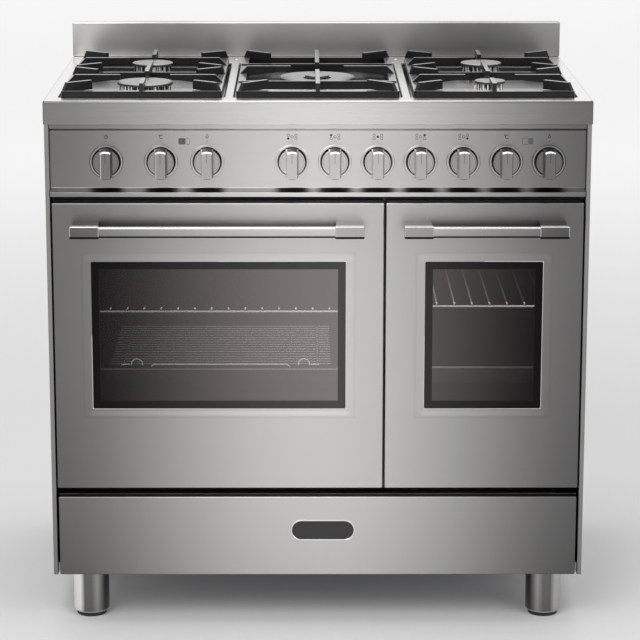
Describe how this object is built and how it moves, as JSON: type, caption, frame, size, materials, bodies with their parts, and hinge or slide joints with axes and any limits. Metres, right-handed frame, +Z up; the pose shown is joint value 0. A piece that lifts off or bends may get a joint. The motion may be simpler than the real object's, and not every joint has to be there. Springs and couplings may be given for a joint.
{
  "type": "range cooker with double oven",
  "caption": "Freestanding range cooker with a gas hob under cast pan supports, two ovens side by side behind drop-down doors, and a storage drawer between high feet.",
  "frame": {"origin": "on the floor under the middle of the bounding box, handles included", "axes": "+Z up, +X to the right of someone facing the cooker, the front faces -Y"},
  "size_m": [0.9, 0.65, 0.9635],
  "materials": {
    "steel": "brushed stainless steel",
    "panel_steel": "satin sheet steel",
    "galvanised": "zinc-coated sheet",
    "black_enamel": "smooth black enamel",
    "grey_enamel": "dark grey vitreous enamel",
    "cast_iron": "matt black",
    "burner_metal": "satin die cast",
    "cap_metal": "matt grey",
    "wire": "bright plated wire",
    "knob_metal": "bright satin",
    "handle_metal": "polished",
    "door_glass": "dark tinted, clear",
    "wool": "pressed mineral wool",
    "rubber": "matt black",
    "brass": "bare brass",
    "hot_steel": "heat-tinted sheath",
    "white_plastic": "moulded",
    "black_plastic": "moulded",
    "lamp_glass": "clear dome"
  },
  "bodies": {
    "cooker": {"base_frame": "galvanised", "side_panel_left": "panel_steel", "side_panel_right": "panel_steel", "back_panel": "galvanised", "front_frame": "black_enamel", "insulation": "wool", "feet": "handle_metal", "main_oven_cavity": "grey_enamel", "small_oven_cavity": "grey_enamel", "fan_cover": "grey_enamel", "fan_motor": "galvanised", "heating_elements": "hot_steel", "side_racks": "wire", "wire_shelves": "wire", "oven_trays": "black_enamel", "oven_lamps": "lamp_glass", "door_seals": "rubber", "drawer_rails": "galvanised", "hob_top": "steel", "backguard": "steel", "burner_bodies": "burner_metal", "burner_caps": "cap_metal", "control_panel": "steel", "knob_bezels": "handle_metal", "gas_rail": "brass", "oven_switches": "white_plastic", "terminal_box": "black_plastic"},
    "main_door": {"main_door_skin": "steel", "main_door_liner": "black_enamel", "main_door_glass": "door_glass", "main_door_handle": "handle_metal", "main_handle_posts": "handle_metal", "main_door_hinges": "galvanised"},
    "small_door": {"small_door_skin": "steel", "small_door_liner": "black_enamel", "small_door_glass": "door_glass", "small_door_handle": "handle_metal", "small_handle_posts": "handle_metal", "small_door_hinges": "galvanised"},
    "drawer": {"drawer_front": "steel", "drawer_box": "galvanised"},
    "left_support": {"pan_support_left": "cast_iron"},
    "centre_support": {"pan_support_centre": "cast_iron"},
    "right_support": {"pan_support_right": "cast_iron"},
    "fan": {"oven_fan": "galvanised"},
    "timer": {"timer_knob": "knob_metal"},
    "main_thermostat": {"main_temp_knob": "knob_metal"},
    "main_selector": {"main_mode_knob": "knob_metal"},
    "small_thermostat": {"small_temp_knob": "knob_metal"},
    "small_selector": {"small_mode_knob": "knob_metal"},
    "tap_1_spindle": {"gas_spindle_1": "brass"},
    "tap_1_knob": {"gas_knob_1": "knob_metal"},
    "tap_2_spindle": {"gas_spindle_2": "brass"},
    "tap_2_knob": {"gas_knob_2": "knob_metal"},
    "tap_3_spindle": {"gas_spindle_3": "brass"},
    "tap_3_knob": {"gas_knob_3": "knob_metal"},
    "tap_4_spindle": {"gas_spindle_4": "brass"},
    "tap_4_knob": {"gas_knob_4": "knob_metal"},
    "tap_5_spindle": {"gas_spindle_5": "brass"},
    "tap_5_knob": {"gas_knob_5": "knob_metal"}
  },
  "joints": [
    {"name": "main_door_hinge", "type": "hinge", "parent": "cooker", "child": "main_door", "pos_m": [-0.16493, -0.249, 0.2544], "axis": [1, 0, 0], "range_deg": [0, 90], "stiffness_Nm_per_rad": 5, "springref_deg": -14.32},
    {"name": "small_door_hinge", "type": "hinge", "parent": "cooker", "child": "small_door", "pos_m": [0.27593, -0.249, 0.2544], "axis": [1, 0, 0], "range_deg": [0, 90], "stiffness_Nm_per_rad": 3, "springref_deg": -14.32},
    {"name": "drawer_slide", "type": "slide", "parent": "cooker", "child": "drawer", "axis": [0, -1, 0], "range_m": [0, 0.35]},
    {"name": "left_support_lift", "type": "slide", "parent": "cooker", "child": "left_support", "axis": [0, 0, 1], "range_m": [0, 0.15]},
    {"name": "centre_support_lift", "type": "slide", "parent": "cooker", "child": "centre_support", "axis": [0, 0, 1], "range_m": [0, 0.15]},
    {"name": "right_support_lift", "type": "slide", "parent": "cooker", "child": "right_support", "axis": [0, 0, 1], "range_m": [0, 0.15]},
    {"name": "fan_spin", "type": "hinge", "parent": "cooker", "child": "fan", "pos_m": [-0.16493, 0.2, 0.4875], "axis": [0, 1, 0], "continuous": true},
    {"name": "timer_turn", "type": "hinge", "parent": "cooker", "child": "timer", "pos_m": [-0.348, -0.26, 0.7973], "axis": [0, 1, 0], "range_deg": [0, 330]},
    {"name": "main_thermostat_turn", "type": "hinge", "parent": "cooker", "child": "main_thermostat", "pos_m": [-0.258, -0.26, 0.7973], "axis": [0, 1, 0], "range_deg": [0, 270]},
    {"name": "main_selector_turn", "type": "hinge", "parent": "cooker", "child": "main_selector", "pos_m": [-0.182, -0.26, 0.7973], "axis": [0, 1, 0], "range_deg": [0, 315]},
    {"name": "small_thermostat_turn", "type": "hinge", "parent": "cooker", "child": "small_thermostat", "pos_m": [0.3096, -0.26, 0.7973], "axis": [0, 1, 0], "range_deg": [0, 270]},
    {"name": "small_selector_turn", "type": "hinge", "parent": "cooker", "child": "small_selector", "pos_m": [0.38, -0.26, 0.7973], "axis": [0, 1, 0], "range_deg": [0, 270]},
    {"name": "tap_1_push", "type": "slide", "parent": "cooker", "child": "tap_1_spindle", "axis": [0, 1, 0], "range_m": [0, 0.004], "stiffness_N_per_m": 1500, "springref_m": -0.002},
    {"name": "tap_1_turn", "type": "hinge", "parent": "tap_1_spindle", "child": "tap_1_knob", "pos_m": [-0.0424, -0.26, 0.7973], "axis": [0, -1, 0], "range_deg": [0, 210]},
    {"name": "tap_2_push", "type": "slide", "parent": "cooker", "child": "tap_2_spindle", "axis": [0, 1, 0], "range_m": [0, 0.004], "stiffness_N_per_m": 1500, "springref_m": -0.002},
    {"name": "tap_2_turn", "type": "hinge", "parent": "tap_2_spindle", "child": "tap_2_knob", "pos_m": [0.028, -0.26, 0.7973], "axis": [0, -1, 0], "range_deg": [0, 210]},
    {"name": "tap_3_push", "type": "slide", "parent": "cooker", "child": "tap_3_spindle", "axis": [0, 1, 0], "range_m": [0, 0.004], "stiffness_N_per_m": 1500, "springref_m": -0.002},
    {"name": "tap_3_turn", "type": "hinge", "parent": "tap_3_spindle", "child": "tap_3_knob", "pos_m": [0.0984, -0.26, 0.7973], "axis": [0, -1, 0], "range_deg": [0, 210]},
    {"name": "tap_4_push", "type": "slide", "parent": "cooker", "child": "tap_4_spindle", "axis": [0, 1, 0], "range_m": [0, 0.004], "stiffness_N_per_m": 1500, "springref_m": -0.002},
    {"name": "tap_4_turn", "type": "hinge", "parent": "tap_4_spindle", "child": "tap_4_knob", "pos_m": [0.1688, -0.26, 0.7973], "axis": [0, -1, 0], "range_deg": [0, 210]},
    {"name": "tap_5_push", "type": "slide", "parent": "cooker", "child": "tap_5_spindle", "axis": [0, 1, 0], "range_m": [0, 0.004], "stiffness_N_per_m": 1500, "springref_m": -0.002},
    {"name": "tap_5_turn", "type": "hinge", "parent": "tap_5_spindle", "child": "tap_5_knob", "pos_m": [0.2392, -0.26, 0.7973], "axis": [0, -1, 0], "range_deg": [0, 210]}
  ]
}
